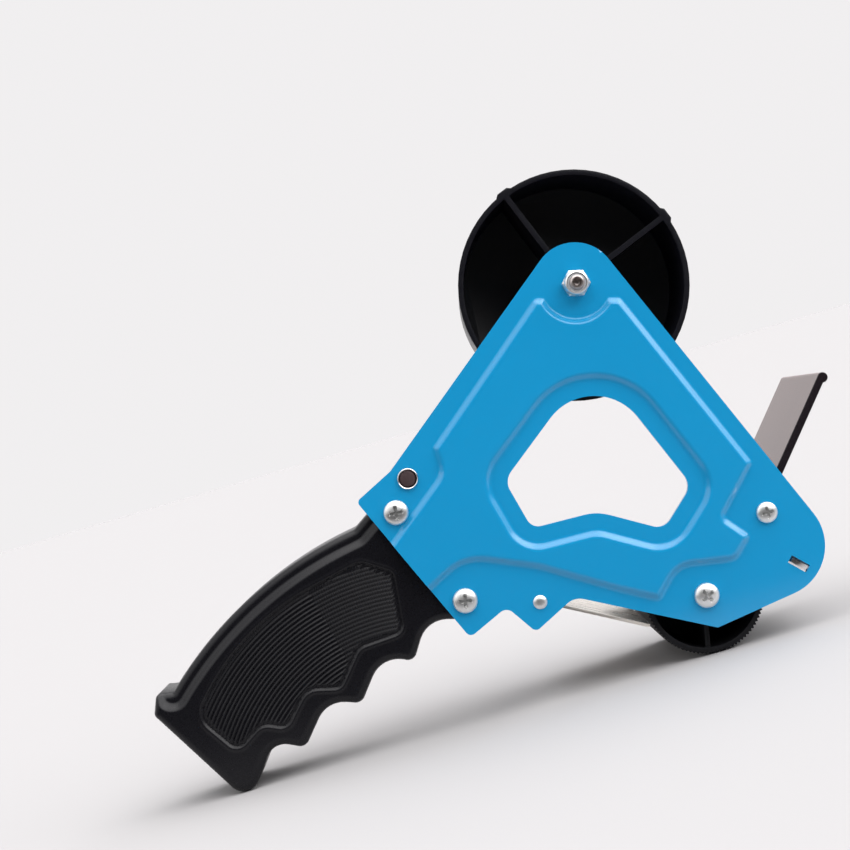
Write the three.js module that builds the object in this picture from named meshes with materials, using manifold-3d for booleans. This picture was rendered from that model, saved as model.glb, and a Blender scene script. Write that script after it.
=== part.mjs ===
// Hand-held tape gun dispenser: one stamped side plate carries the tape hub, the toothed
// tape roller, the sprung tape flap, the blade bracket with its wiper, and a moulded handle.
// Millimetres. Each piece is drawn in side view as (u, v) about the hub axis, with Y running
// from the plate's outer face (Y = 0) inwards across the tape. The whole gun is then turned
// about Y until it stands on the roller and the handle's heel.
import * as THREE from 'three';
import { mergeVertices } from 'three/addons/utils/BufferGeometryUtils.js';
import Module from 'manifold-3d';

const wasm = await Module();
wasm.setup();

// ---- driving dimensions ----
const GAP = 0.3;                 // clearance between neighbouring pieces
const SEAT = 0.1;                // clearance under a seated head
const SHEET = 1.5;               // side plate and bracket sheet
const FIELD_HEIGHT = 1.5;        // how far the plate's field is pressed outwards
const FIELD_SLOPE = 1.8;         // width of the pressed slope
const APEX_SEAT = 10.8;          // flat seat round the hub nut
const TAPE_NEAR = 4;             // tape space across the gun
const TAPE_FAR = 54;
const HUB_RADIUS = 37.3;         // at the plate end; the drum tapers to HUB_FAR_RADIUS
const HUB_FAR_RADIUS = 36;
const HUB_WALL = 1.7;
const ROLLER = { u: 41.8, v: -99.2, radius: 19.4, teeth: 94, toothDepth: 0.7 };
const UPPER_HANDLE_SCREW = [-57.1, -72.9];
const LOWER_HANDLE_SCREW = [-35.1, -100.9];
const BRACKET_SCREW = [60.9, -72.8];
const GUIDE_POST = [-53.4, -62.1];
const FLAP_PIVOT = [-11.2, -101.4];
const SLOT = { u: 71.2, v: -89.2, slope: -29, length: 6.6, width: 2.6 };
const HANDLE_SPLIT = 15.4;
const HANDLE_BACK = 29;
const M4 = { shank: 2, head: 4, headHeight: 2.6 };
const M3 = { shank: 1.5, head: 3.4, headHeight: 2.1 };

// ---- solids from three.js geometry ----
function solid(geometry) {
  const bare = geometry.index ? geometry.toNonIndexed() : geometry.clone();
  bare.deleteAttribute('normal');
  bare.deleteAttribute('uv');
  const welded = mergeVertices(bare, 1e-4);
  return new wasm.Manifold(new wasm.Mesh({
    numProp: 3,
    vertProperties: new Float32Array(welded.attributes.position.array),
    triVerts: new Uint32Array(welded.index.array),
  }));
}

function geometryOf(manifold) {
  const mesh = manifold.getMesh();
  const geometry = new THREE.BufferGeometry();
  geometry.setAttribute('position', new THREE.BufferAttribute(mesh.vertProperties.slice(), 3));
  geometry.setIndex(new THREE.BufferAttribute(mesh.triVerts.slice(), 1));
  return geometry;
}

function joined(solids) {
  return solids.reduce((sum, next) => sum.add(next));
}

// ---- outlines in side view ----
// Rounded polygon from [u, v, radius] corners, counter-clockwise. A corner keeps its number of
// points at any offset, so two offsets of one outline can be lofted together.
function cornerSteps(radius, turn) {
  if (radius < 0.05) {
    return 0;
  }
  return Math.max(1, Math.round((Math.abs(turn) * Math.sqrt(radius)) / 0.75));
}

function outline(corners, offset = 0) {
  const points = [];
  const count = corners.length;
  corners.forEach(([u, v, radius = 0], i) => {
    const [pu, pv] = corners[(i + count - 1) % count];
    const [nu, nv] = corners[(i + 1) % count];
    const before = new THREE.Vector2(u - pu, v - pv).normalize();
    const after = new THREE.Vector2(nu - u, nv - v).normalize();
    const turn = Math.atan2(before.cross(after), before.dot(after));
    const side = Math.sign(turn) || 1;
    const steps = cornerSteps(radius, turn);
    const rounding = Math.max(radius + side * offset, 0.02);
    const reach = offset / Math.cos(turn / 2);
    const inward = new THREE.Vector2(-before.y - after.y, before.x + after.x).normalize();
    const corner = new THREE.Vector2(u, v).addScaledVector(inward, -reach);
    if (steps === 0) {
      points.push(corner);
      return;
    }
    const centre = corner.clone().addScaledVector(inward, (side * rounding) / Math.cos(turn / 2));
    const start = Math.atan2(-before.x * side, before.y * side);
    for (let k = 0; k <= steps; k += 1) {
      const angle = start + (turn * k) / steps;
      points.push(new THREE.Vector2(
        centre.x + rounding * Math.cos(angle),
        centre.y + rounding * Math.sin(angle),
      ));
    }
  });
  return points;
}

function circle(u, v, radius, count = 24, start = 0) {
  return Array.from({ length: count }, (_, k) => {
    const angle = start + (k * 2 * Math.PI) / count;
    return new THREE.Vector2(u + radius * Math.cos(angle), v + radius * Math.sin(angle));
  });
}

// Straight prism of an outline between two depths.
function prism(points, near, far) {
  const geometry = new THREE.ExtrudeGeometry(new THREE.Shape(points), {
    depth: far - near, bevelEnabled: false, steps: 1,
  });
  geometry.rotateX(Math.PI / 2);
  geometry.translate(0, far, 0);
  return solid(geometry);
}

// Skin through a stack of outlines with equal point counts, given as [points, depth].
function loft(layers) {
  const positions = [];
  const index = [];
  const count = layers[0][0].length;
  layers.forEach(([points, y]) => points.forEach((p) => positions.push(p.x, y, p.y)));
  for (let layer = 0; layer + 1 < layers.length; layer += 1) {
    for (let k = 0; k < count; k += 1) {
      const a = layer * count + k;
      const b = layer * count + ((k + 1) % count);
      index.push(a, b + count, b, a, a + count, b + count);
    }
  }
  const last = (layers.length - 1) * count;
  THREE.ShapeUtils.triangulateShape(layers[0][0], []).forEach(([a, b, c]) => index.push(a, b, c));
  THREE.ShapeUtils.triangulateShape(layers.at(-1)[0], []).forEach(([a, b, c]) => {
    index.push(last + a, last + c, last + b);
  });
  const geometry = new THREE.BufferGeometry();
  geometry.setAttribute('position', new THREE.Float32BufferAttribute(positions, 3));
  geometry.setIndex(index);
  return solid(geometry);
}

// Turned body: a closed [radius, depth] profile about the Y axis through (u, v).
function turned([u, v], profile, segments = 28) {
  const points = profile.map(([radius, y]) => new THREE.Vector2(radius, y));
  const geometry = new THREE.LatheGeometry([...points, points[0]], segments);
  geometry.translate(u, 0, v);
  const body = solid(geometry);
  return body.volume() < 0 ? solid(flipped(geometry)) : body;
}

function flipped(geometry) {
  const plain = geometry.toNonIndexed();
  const p = plain.attributes.position;
  for (let i = 0; i < p.count; i += 3) {
    const second = new THREE.Vector3().fromBufferAttribute(p, i + 1);
    const third = new THREE.Vector3().fromBufferAttribute(p, i + 2);
    p.setXYZ(i + 1, third.x, third.y, third.z);
    p.setXYZ(i + 2, second.x, second.y, second.z);
  }
  return plain;
}

function rod([u, v], radius, near, far, segments = 24) {
  return prism(circle(u, v, radius, segments), near, far);
}

// Strip of sheet along a centreline of [u, v, bend radius] points, as a closed corner list.
function stripCorners(line, thickness) {
  const half = thickness / 2;
  const sideOf = (sign) => line.map(([u, v, bend = 0], i) => {
    const [au, av] = line[Math.max(i - 1, 0)];
    const [bu, bv] = line[Math.min(i + 1, line.length - 1)];
    const before = new THREE.Vector2(u - au, v - av).normalize();
    const after = new THREE.Vector2(bu - u, bv - v).normalize();
    const along = before.clone().add(after).normalize();
    const leans = i > 0 && i + 1 < line.length ? before.dot(along) : 1;
    const turn = before.cross(after);
    const shift = (sign * half) / leans;
    const radius = bend ? bend - Math.sign(turn) * sign * half : 0;
    return [u - along.y * shift, v + along.x * shift, radius];
  });
  return [...sideOf(-1), ...sideOf(1).reverse()];
}

// ---- fasteners, head outwards (towards -Y) ----
// Pan head with a cross recess on a plain shank, seated on the depth `seat`.
function panScrew([u, v], size, seat, tip) {
  const { shank, head, headHeight } = size;
  const body = turned([u, v], [
    [0, seat - headHeight],
    [head * 0.45, seat - headHeight * 0.94],
    [head * 0.82, seat - headHeight * 0.68],
    [head, seat - headHeight * 0.25],
    [head, seat],
    [shank, seat],
    [shank, tip - shank * 0.4],
    [shank * 0.6, tip],
    [0, tip],
  ], 24);
  const arm = head * 0.62;
  const half = head * 0.13;
  const floor = seat - headHeight * 0.35;
  const bar = (du, dv) => prism([
    new THREE.Vector2(u - du, v - dv),
    new THREE.Vector2(u + du, v - dv),
    new THREE.Vector2(u + du, v + dv),
    new THREE.Vector2(u - du, v + dv),
  ], seat - headHeight - 1, floor);
  return body.subtract(bar(arm, half).add(bar(half, arm)));
}

function hexNut([u, v], acrossFlats, bore, near, far) {
  const corner = acrossFlats / Math.sqrt(3);
  return prism(circle(u, v, corner, 6, Math.PI / 6), near, far)
    .subtract(rod([u, v], bore, near - 1, far + 1));
}

function washer(centre, outer, inner, near, far) {
  return rod(centre, outer, near, far, 28).subtract(rod(centre, inner, near - 1, far + 1));
}

// E-clip: an open ring pressed into a groove.
function openClip([u, v], outer, inner, near, far) {
  const mouth = prism([
    new THREE.Vector2(u - inner * 0.7, v),
    new THREE.Vector2(u + inner * 0.7, v),
    new THREE.Vector2(u + inner * 0.7, v + outer + 1),
    new THREE.Vector2(u - inner * 0.7, v + outer + 1),
  ], near - 1, far + 1);
  return washer([u, v], outer, inner, near, far).subtract(mouth);
}

// ---- side plate ----
const PLATE_CORNERS = [
  [-0.8, 22.05, 13.5],
  [-59.0, -59.8, 3],
  [-69.7, -69.5, 1.5],
  [-33.5, -112.7, 2],
  [-21.9, -103.0, 3],
  [-12.5, -110.9, 2],
  [-0.3, -99.8, 6],
  [45.4, -109.5, 1],
  [89.3, -89.8, 16.5],
];

const HOLE_CORNERS = [
  [5.6, -24.4, 17.5],
  [-22.6, -62.7, 5.5],
  [-13.8, -77.9, 4],
  [6.9, -72.6, 16],
  [28.3, -78.2, 5],
  [37.0, -64.1, 5.5],
];

const FIELD_CORNERS = [
  [-13.3, -4.5, 2.5],
  [-45.8, -52.2, 1.5],
  [-43.4, -60.5, 5],
  [-58.4, -82.6, 0],
  [-45.8, -98.2, 0],
  [-35.1, -88.0, 5],
  [-12.0, -91.0, 12],
  [12.6, -97.9, 8],
  [27.0, -101.2, 2],
  [33.0, -90.5, 8],
  [51.5, -88.4, 5],
  [56.2, -80.0, 1.5],
  [47.6, -74.2, 1.5],
  [56.8, -57.0, 1.5],
  [14.4, -4.2, 2.5],
];

function sidePlate() {
  const apexRing = (radius, near, far) => rod([0, 0], radius, near, far, 40);
  const raised = loft([
    [outline(FIELD_CORNERS, -FIELD_SLOPE), -FIELD_HEIGHT],
    [outline(FIELD_CORNERS, 0), 0],
    [outline(FIELD_CORNERS, 0), 0.2],
  ]).subtract(apexCone(APEX_SEAT, -FIELD_HEIGHT));
  const pressed = loft([
    [outline(FIELD_CORNERS, -FIELD_SLOPE - 0.9), 0],
    [outline(FIELD_CORNERS, -0.9), SHEET],
    [outline(FIELD_CORNERS, -0.9), SHEET + 1],
  ]).subtract(apexRing(APEX_SEAT + 3.2, -3, SHEET + 2));
  const ringOuter = 5.2;
  const ring = loft([
    [outline(HOLE_CORNERS, ringOuter + FIELD_SLOPE), -FIELD_HEIGHT - 0.5],
    [outline(HOLE_CORNERS, ringOuter + FIELD_SLOPE), -FIELD_HEIGHT],
    [outline(HOLE_CORNERS, ringOuter), 0],
  ]);
  const ringBack = prism(outline(HOLE_CORNERS, ringOuter + FIELD_SLOPE + 0.9), -3, SHEET + 2);
  const holes = [
    prism(outline(HOLE_CORNERS), -3, SHEET + 1),
    rod([0, 0], 2.5 + GAP, -3, SHEET + 1),
    rod(UPPER_HANDLE_SCREW, M4.shank + GAP, -3, SHEET + 1),
    rod(LOWER_HANDLE_SCREW, M4.shank + GAP, -3, SHEET + 1),
    rod([ROLLER.u, ROLLER.v], M4.shank + GAP, -3, SHEET + 1),
    rod(BRACKET_SCREW, M3.shank + GAP, -3, SHEET + 1),
    rod(GUIDE_POST, 3.1 + GAP, -3, SHEET + 1),
    rod(FLAP_PIVOT, 2.0 + GAP, -3, SHEET + 1),
    prism(slotOutline(SLOT.length, SLOT.width), -3, SHEET + 1),
  ];
  const blank = prism(outline(PLATE_CORNERS), 0, SHEET);
  return blank.add(raised)
    .subtract(ring)
    .subtract(pressed.subtract(ringBack))
    .subtract(joined(holes));
}

// Flared cutter that leaves the flat seat round the hub nut.
function apexCone(radius, top) {
  return turned([0, 0], [
    [0, top - 0.5],
    [radius + FIELD_SLOPE, top - 0.5],
    [radius + FIELD_SLOPE, top],
    [radius, 0],
    [0, 0],
  ], 40);
}

function slotOutline(length, width) {
  const slope = THREE.MathUtils.degToRad(SLOT.slope);
  const corner = (along, across) => new THREE.Vector2(
    SLOT.u + along * Math.cos(slope) - across * Math.sin(slope),
    SLOT.v + along * Math.sin(slope) + across * Math.cos(slope),
  );
  return [
    corner(-length / 2, -width / 2),
    corner(length / 2, -width / 2),
    corner(length / 2, width / 2),
    corner(-length / 2, width / 2),
  ];
}

// ---- tape hub ----
function hubDrum() {
  const near = 5;
  const far = 53;
  const bossFar = 32;
  const bossRadius = 8;
  const ribHalf = 0.9;
  const ribFar = 44;
  const lugHeight = 0.8;
  const ring = turned([0, 0], [
    [HUB_RADIUS - HUB_WALL, near],
    [HUB_RADIUS, near],
    [HUB_FAR_RADIUS, far - 1],
    [HUB_FAR_RADIUS - 0.6, far],
    [HUB_FAR_RADIUS - HUB_WALL, far],
  ], 64);
  const boss = rod([0, 0], bossRadius, near, bossFar, 28);
  const web = rod([0, 0], HUB_FAR_RADIUS + 0.1, bossFar - HUB_WALL, bossFar, 64);
  const spokes = [37.5, 127.5, 217.5, 307.5].map((degrees) => {
    const turn = THREE.MathUtils.degToRad(degrees);
    const at = (along, across) => new THREE.Vector2(
      along * Math.cos(turn) - across * Math.sin(turn),
      along * Math.sin(turn) + across * Math.cos(turn),
    );
    const rib = prism([
      at(bossRadius - 1, -ribHalf), at(HUB_FAR_RADIUS + 0.1, -ribHalf),
      at(HUB_FAR_RADIUS + 0.1, ribHalf), at(bossRadius - 1, ribHalf),
    ], near, ribFar);
    const lugBase = HUB_RADIUS - 0.6;
    const lugTop = HUB_RADIUS + lugHeight;
    const lug = prism([at(lugBase, -3.4), at(lugTop, -1.8), at(lugTop, 1.8), at(lugBase, 3.4)],
      near, near + 4);
    return rib.add(lug);
  });
  return ring.add(boss).add(web).add(joined(spokes))
    .subtract(rod([0, 0], 2.5 + GAP, near - 1, bossFar + 1))
    .subtract(rod([0, 0], bossRadius + GAP, bossFar, far));
}

function hubBolt() {
  const head = prism(circle(0, 0, 8 / Math.sqrt(3), 6, 0), 47.6, 51.1);
  const shank = turned([0, 0], [
    [0, -6.2], [1.9, -6.2], [2.35, -5.6], [2.35, 48], [0, 48],
  ], 24);
  const dimple = turned([0, 0], [[0, -6.7], [1.1, -6.7], [1.1, -6.2], [0, -5.4]], 16);
  return head.add(shank).subtract(dimple);
}

// Nylon-insert nut: hexagon with a round collar on its outer end.
function hubNut() {
  const hexagon = prism(circle(0, 0, 8 / Math.sqrt(3), 6, 0.35), -3.4, 0);
  const collar = turned([0, 0], [[0, -5], [3.0, -5], [3.7, -4.3], [3.7, -3.2], [0, -3.2]], 28);
  return hexagon.add(collar).subtract(rod([0, 0], 2.5 + GAP * 0.3, -7, 1));
}

// Round wire along a path, closed at both ends.
function wire(path, radius, steps) {
  const geometry = new THREE.ExtrudeGeometry(new THREE.Shape(circle(0, 0, radius, 6)), {
    steps, extrudePath: path, bevelEnabled: false,
  });
  const body = solid(geometry);
  return body.volume() < 0 ? solid(flipped(geometry)) : body;
}

function hubSpring() {
  const near = 33.9;
  const far = 46;
  const turns = 6;
  const thick = 0.6;
  const path = new THREE.Curve();
  path.getPoint = (t) => {
    const angle = t * turns * 2 * Math.PI;
    return new THREE.Vector3(
      5 * Math.cos(angle),
      near + thick + (far - near - 2 * thick) * t,
      5 * Math.sin(angle),
    );
  };
  return wire(path, thick, turns * 12);
}

// ---- tape roller ----
function toothedRing(u, v, radius, depth, teeth) {
  return Array.from({ length: teeth * 2 }, (_, k) => {
    const angle = (k * Math.PI) / teeth;
    const reach = k % 2 ? radius - depth : radius;
    return new THREE.Vector2(u + reach * Math.cos(angle), v + reach * Math.sin(angle));
  });
}

function tapeRoller() {
  const { u, v, radius, teeth, toothDepth } = ROLLER;
  const shell = prism(toothedRing(u, v, radius, toothDepth, teeth), TAPE_NEAR, TAPE_FAR)
    .subtract(rod([u, v], radius - 2.1, TAPE_NEAR - 1, TAPE_FAR + 1, 48));
  const boss = rod([u, v], 6, TAPE_NEAR, TAPE_FAR, 24);
  const web = rod([u, v], radius - 1.6, 30, 31.6, 48);
  const spokes = [-85, 5, 95, 185].map((degrees) => {
    const turn = THREE.MathUtils.degToRad(degrees);
    const at = (along, across) => new THREE.Vector2(
      u + along * Math.cos(turn) - across * Math.sin(turn),
      v + along * Math.sin(turn) + across * Math.cos(turn),
    );
    return prism([at(5, -0.8), at(17.8, -0.8), at(17.8, 0.8), at(5, 0.8)],
      TAPE_NEAR + 1.5, TAPE_FAR - 1.5);
  });
  return shell.add(boss).add(web).add(joined(spokes))
    .subtract(rod([u, v], 4 + 0.1, TAPE_NEAR - 1, TAPE_FAR + 1));
}

// Steel axle, tapped at the plate end, with a groove for its clip at the open end.
function rollerAxle() {
  return turned([ROLLER.u, ROLLER.v], [
    [0, 12],
    [M4.shank + GAP * 0.5, 12],
    [M4.shank + GAP * 0.5, 1.8],
    [4, 1.8],
    [4, TAPE_FAR + 1.5],
    [3.1, TAPE_FAR + 1.5],
    [3.1, TAPE_FAR + 2.7],
    [4, TAPE_FAR + 2.7],
    [4, TAPE_FAR + 3.7],
    [3.5, TAPE_FAR + 4.2],
    [0, TAPE_FAR + 4.2],
  ], 24);
}

// ---- blade bracket, blade and wiper ----
const WIPER_ROOT = new THREE.Vector2(58.4, -72.8);      // on the wiper's inner face
const WIPER_ALONG = new THREE.Vector2(0.408, 0.913);
const WIPER_OUT = new THREE.Vector2(0.913, -0.408);
const WIPER_THICK = 2.5;
const BLADE_ALONG = new THREE.Vector2(0.875, -0.485);
const BLADE_UP = new THREE.Vector2(0.485, 0.875);

function wiperPoint(along, out) {
  return WIPER_ROOT.clone().addScaledVector(WIPER_ALONG, along).addScaledVector(WIPER_OUT, out);
}

function bladePoint(along, up) {
  return new THREE.Vector2(SLOT.u, SLOT.v)
    .addScaledVector(BLADE_ALONG, along)
    .addScaledVector(BLADE_UP, up);
}

// Box given by two in-plane axes and a depth range.
function slab(pointAt, along, across, near, far) {
  return prism([
    pointAt(along[0], across[0]),
    pointAt(along[1], across[0]),
    pointAt(along[1], across[1]),
    pointAt(along[0], across[1]),
  ], near, far);
}

// Round bar at depth y through a point of the side view, along an in-plane direction.
function crossBar(point, direction, across, radius, y) {
  const geometry = new THREE.CylinderGeometry(radius, radius, across[1] - across[0], 20);
  geometry.applyQuaternion(new THREE.Quaternion().setFromUnitVectors(
    new THREE.Vector3(0, 1, 0),
    new THREE.Vector3(direction.x, 0, direction.y),
  ));
  const middle = point.clone().addScaledVector(direction, (across[0] + across[1]) / 2);
  geometry.translate(middle.x, y, middle.y);
  return solid(geometry);
}

function wiperBar(along, out, radius, y) {
  return crossBar(wiperPoint(along, 0), WIPER_OUT, out, radius, y);
}

function bladeBar(along, up, radius, y) {
  return crossBar(bladePoint(along, 0), BLADE_UP, up, radius, y);
}

const WIPER_SCREW_DEPTHS = [18, 43];
const RIVET_DEPTHS = [12, 44];

function bladeBracket() {
  const top = wiperPoint(7.5, -GAP - SHEET / 2);
  const bend = wiperPoint(-8.06, -GAP - SHEET / 2);
  const end = bladePoint(4.2, 0);
  const corners = stripCorners([[top.x, top.y], [bend.x, bend.y, 3], [end.x, end.y]], SHEET);
  const web = prism(outline(corners), SHEET + GAP, 51);
  const ear = prism(outline([
    [58.6, -66.6, 0], [54.4, -76.0, 0], [62.8, -80.2, 3], [67.6, -73.0, 3], [65.4, -66.2, 3],
  ]), SHEET + GAP, 2 * SHEET + GAP);
  const tab = slab(bladePoint, [-2.7, 2.7], [-SHEET / 2, SHEET / 2], -0.4, SHEET + 1);
  const screwHoles = WIPER_SCREW_DEPTHS.map((y) => wiperBar(3.5, [-4, 2], M3.shank + 0.1, y));
  const rivetHoles = RIVET_DEPTHS.map((y) => bladeBar(-2.5, [-3, 3], 1.5 + 0.1, y));
  return web.add(ear).add(tab)
    .subtract(rod(BRACKET_SCREW, M3.shank + 0.1, 0, 5))
    .subtract(joined([...screwHoles, ...rivetHoles]));
}

// Toothed strip lying on the bracket, teeth towards the nose.
function cutterBlade() {
  const near = 3.2;
  const far = 52;
  const pitch = 2.44;
  const bottom = SHEET / 2 + GAP;
  const plain = slab(bladePoint, [-6, 4.2], [bottom, bottom + 1], near, far);
  const count = Math.round((far - near) / pitch);
  const profile = new THREE.Shape();
  profile.moveTo(3.8, near);
  for (let k = 0; k < count; k += 1) {
    profile.lineTo(4.3, near + k * pitch);
    profile.lineTo(6.1, near + (k + 0.5) * pitch);
  }
  profile.lineTo(4.3, far);
  profile.lineTo(3.8, far);
  const teeth = new THREE.ExtrudeGeometry(profile, { depth: 1, bevelEnabled: false });
  const across = new THREE.Vector3(0, 1, 0);
  const along = new THREE.Vector3(BLADE_ALONG.x, 0, BLADE_ALONG.y);
  const up = new THREE.Vector3(BLADE_UP.x, 0, BLADE_UP.y);
  const origin = bladePoint(0, bottom);
  const placed = new THREE.Matrix4().makeBasis(along, across, up);
  placed.setPosition(origin.x, 0, origin.y);
  teeth.applyMatrix4(placed);
  const upright = placed.determinant() < 0 ? flipped(teeth) : teeth;
  const holes = RIVET_DEPTHS.map((y) => bladeBar(-2.5, [-1, 4], 1.5 + 0.1, y));
  return plain.add(solid(upright)).subtract(joined(holes));
}

function bladeRivet(y) {
  const top = SHEET / 2 + GAP + 1;
  return joined([
    bladeBar(-2.5, [-SHEET / 2 - 0.7, top + 0.5], 1.5, y),
    bladeBar(-2.5, [top + SEAT, top + 1.1], 2.6, y),
    bladeBar(-2.5, [-SHEET / 2 - 0.9, -SHEET / 2 - SEAT], 2.4, y),
  ]);
}

const WIPER_NEAR = 2.6;
const WIPER_FAR = 53;
const WIPER_LENGTH = 47.9;
const WIPER_BEAD = 1.7;
const WIPER_FLEX = 8;            // along the wiper, where it leaves its clamp and bends

// The wiper is one flexible strip: its clamped root, and the free blade that flexes.
function wiperRoot() {
  const top = WIPER_FLEX - WIPER_THICK / 2 - GAP;
  const strip = slab(wiperPoint, [-4, top], [0, WIPER_THICK], WIPER_NEAR, WIPER_FAR);
  const notch = slab(wiperPoint, [-6, 10], [-1, 4], 0, 9);
  const holes = WIPER_SCREW_DEPTHS.map((y) => wiperBar(3.5, [-1, 4], M3.shank + 0.1, y));
  return strip.subtract(notch).subtract(joined(holes));
}

function wiperBlade() {
  const strip = slab(wiperPoint, [WIPER_FLEX, WIPER_LENGTH], [0, WIPER_THICK], WIPER_NEAR, WIPER_FAR);
  const tip = wiperPoint(WIPER_LENGTH, WIPER_THICK - 0.9);
  const bead = rod([tip.x, tip.y], WIPER_BEAD, WIPER_NEAR, WIPER_FAR, 14);
  const flex = wiperPoint(WIPER_FLEX, WIPER_THICK / 2);
  const foot = rod([flex.x, flex.y], WIPER_THICK / 2, WIPER_NEAR, WIPER_FAR, 16);
  return joined([strip, bead, foot]).subtract(slab(wiperPoint, [0, 10], [-1, 4], 0, 4.4));
}

function wiperClamp() {
  const bar = slab(wiperPoint, [-0.5, 7.5], [WIPER_THICK + 0.1, WIPER_THICK + 1.6], 10, 51);
  const holes = WIPER_SCREW_DEPTHS.map((y) => wiperBar(3.5, [0, 5], M3.shank + 0.1, y));
  return bar.subtract(joined(holes));
}

function wiperScrew(y) {
  const seat = WIPER_THICK + 1.7;
  return joined([
    wiperBar(3.5, [-3.2, seat + 0.5], M3.shank, y),
    wiperBar(3.5, [seat, seat + 1.6], 2.8, y),
  ]);
}

// ---- sprung tape flap ----
const FLAP_TIP = [24.1, -109.3];
const FLAP_THICK = 1;
const FLAP_BARREL = 3.1;

function flapPoint(along, up) {
  const [pu, pv] = FLAP_PIVOT;
  const direction = new THREE.Vector2(FLAP_TIP[0] - pu, FLAP_TIP[1] - pv).normalize();
  return new THREE.Vector2(pu, pv)
    .addScaledVector(direction, along)
    .addScaledVector(new THREE.Vector2(-direction.y, direction.x), up);
}

function tapeFlap() {
  const near = 2.4;
  const far = 51;
  const half = FLAP_THICK / 2;
  const length = Math.hypot(FLAP_TIP[0] - FLAP_PIVOT[0], FLAP_TIP[1] - FLAP_PIVOT[1]);
  const sheet = slab(flapPoint, [0, length], [-half, half], near, far);
  const barrel = rod(FLAP_PIVOT, FLAP_BARREL, near, far, 24);
  const springWindow = slab(flapPoint, [-8, 4.4], [-8, 8], 16, 38);
  return sheet.add(barrel)
    .subtract(rod(FLAP_PIVOT, 2.1, near - 1, far + 1))
    .subtract(springWindow);
}

function flapPin() {
  return turned(FLAP_PIVOT, [
    [0, -1.0], [1.7, -1.0], [2.25, -0.5], [2.25, -0.1], [2.0, -0.1],
    [2.0, 52.2], [1.5, 52.2], [1.5, 53.3], [2.0, 53.3], [2.0, 54], [0, 54],
  ], 24);
}

// Torsion spring round the pin, one leg under the flap.
function flapSpring() {
  const turns = 7;
  const radius = 2.9;
  const thick = 0.4;
  const near = 20;
  const far = 34;
  const [pu, pv] = FLAP_PIVOT;
  const path = new THREE.Curve();
  path.getPoint = (t) => {
    const angle = -Math.PI / 2 + t * turns * 2 * Math.PI;
    return new THREE.Vector3(
      pu + radius * Math.cos(angle),
      near + (far - near) * t,
      pv + radius * Math.sin(angle),
    );
  };
  return wire(path, thick, turns * 12);
}

// ---- guide post ----
function guideSleeve() {
  return turned(GUIDE_POST, [
    [2.75, -0.9], [3.3, -0.9], [3.4, -0.6], [3.4, -0.1], [3.1, -0.1],
    [3.1, SHEET + 0.1], [3.6, SHEET + 0.1], [3.6, 3.2], [2.75, 3.2],
  ], 28);
}

function guidePost() {
  return turned(GUIDE_POST, [
    [0, -0.6], [2.45, -0.6], [2.45, 3.5], [3.2, 3.5], [3.2, 51.4], [2.7, 52], [0, 52],
  ], 28);
}

// ---- handle ----
// Corners run counter-clockwise: back of the grip, butt flange, heel, finger side, tongue.
const HANDLE_CORNERS = [
  [-61.5, -67.6, 2],
  [-70.8, -78.7, 2],
  [-109.5, -97.7, 128],
  [-129.0, -131.0, 0.8],
  [-134.3, -131.6, 1.6],
  [-134.9, -138.4, 2],
  [-104.2, -166.6, 5.2],
  [-96.6, -146.8, 6],
  [-86.2, -148.6, 3.2],
  [-79.4, -133.6, 9],
  [-68.2, -134.4, 3.2],
  [-61.8, -119.0, 9],
  [-51.4, -121.0, 3],
  [-47.4, -107.6, 9],
  [-31.0, -107.2, 3],
  [-25.0, -98.6, 3],
  [-50.2, -67.4, 3],
];

const HEEL_CORNER = 6;           // index of the corner that the gun stands on

const HANDLE_POCKET = [
  [-74.0, -85.0, 3],
  [-108.5, -103.0, 70],
  [-123.0, -132.5, 3],
  [-105.0, -150.5, 4],
  [-90.5, -138.0, 6],
  [-74.0, -124.5, 6],
  [-56.5, -107.0, 6],
];

function handleRibs(near, far) {
  const rib = (a, b) => {
    const along = new THREE.Vector2(b[0] - a[0], b[1] - a[1]).normalize().multiplyScalar(0.9);
    return prism([
      new THREE.Vector2(a[0] - along.y, a[1] + along.x),
      new THREE.Vector2(a[0] + along.y, a[1] - along.x),
      new THREE.Vector2(b[0] + along.y, b[1] - along.x),
      new THREE.Vector2(b[0] - along.y, b[1] + along.x),
    ].reverse(), near, far);
  };
  return joined([
    rib([-118, -109], [-88, -141]),
    rib([-101, -95], [-72, -128]),
    rib([-84, -86], [-56, -118]),
    rib([-124, -140], [-54, -92]),
  ]);
}

function screwHole(centre) {
  return rod(centre, M4.shank + GAP, 0, HANDLE_BACK + 1);
}

function handleNear() {
  const near = SHEET + GAP;
  const far = HANDLE_SPLIT - 0.05;
  const shell = loft([
    [outline(HANDLE_CORNERS, -1.2), near],
    [outline(HANDLE_CORNERS, 0), near + 1.2],
    [outline(HANDLE_CORNERS, 0), far],
  ]);
  const pocket = prism(outline(HANDLE_POCKET), near + 3.2, far + 1);
  return shell.subtract(pocket.subtract(handleRibs(near, far + 2)))
    .subtract(screwHole(UPPER_HANDLE_SCREW))
    .subtract(screwHole(LOWER_HANDLE_SCREW));
}

function handleFar() {
  const near = HANDLE_SPLIT + 0.05;
  const far = HANDLE_BACK;
  const shell = loft([
    [outline(HANDLE_CORNERS, 0), near],
    [outline(HANDLE_CORNERS, 0), far - 1.2],
    [outline(HANDLE_CORNERS, -1.2), far],
  ]);
  const pocket = prism(outline(HANDLE_POCKET), near - 1, far - 3);
  const nutPocket = (centre) => prism(
    circle(...centre, (7 / Math.sqrt(3)) + 0.35, 6, Math.PI / 6), far - 3.4, far + 1,
  );
  return shell.subtract(pocket.subtract(handleRibs(near - 2, far)))
    .subtract(screwHole(UPPER_HANDLE_SCREW))
    .subtract(screwHole(LOWER_HANDLE_SCREW))
    .subtract(nutPocket(UPPER_HANDLE_SCREW))
    .subtract(nutPocket(LOWER_HANDLE_SCREW));
}

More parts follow.
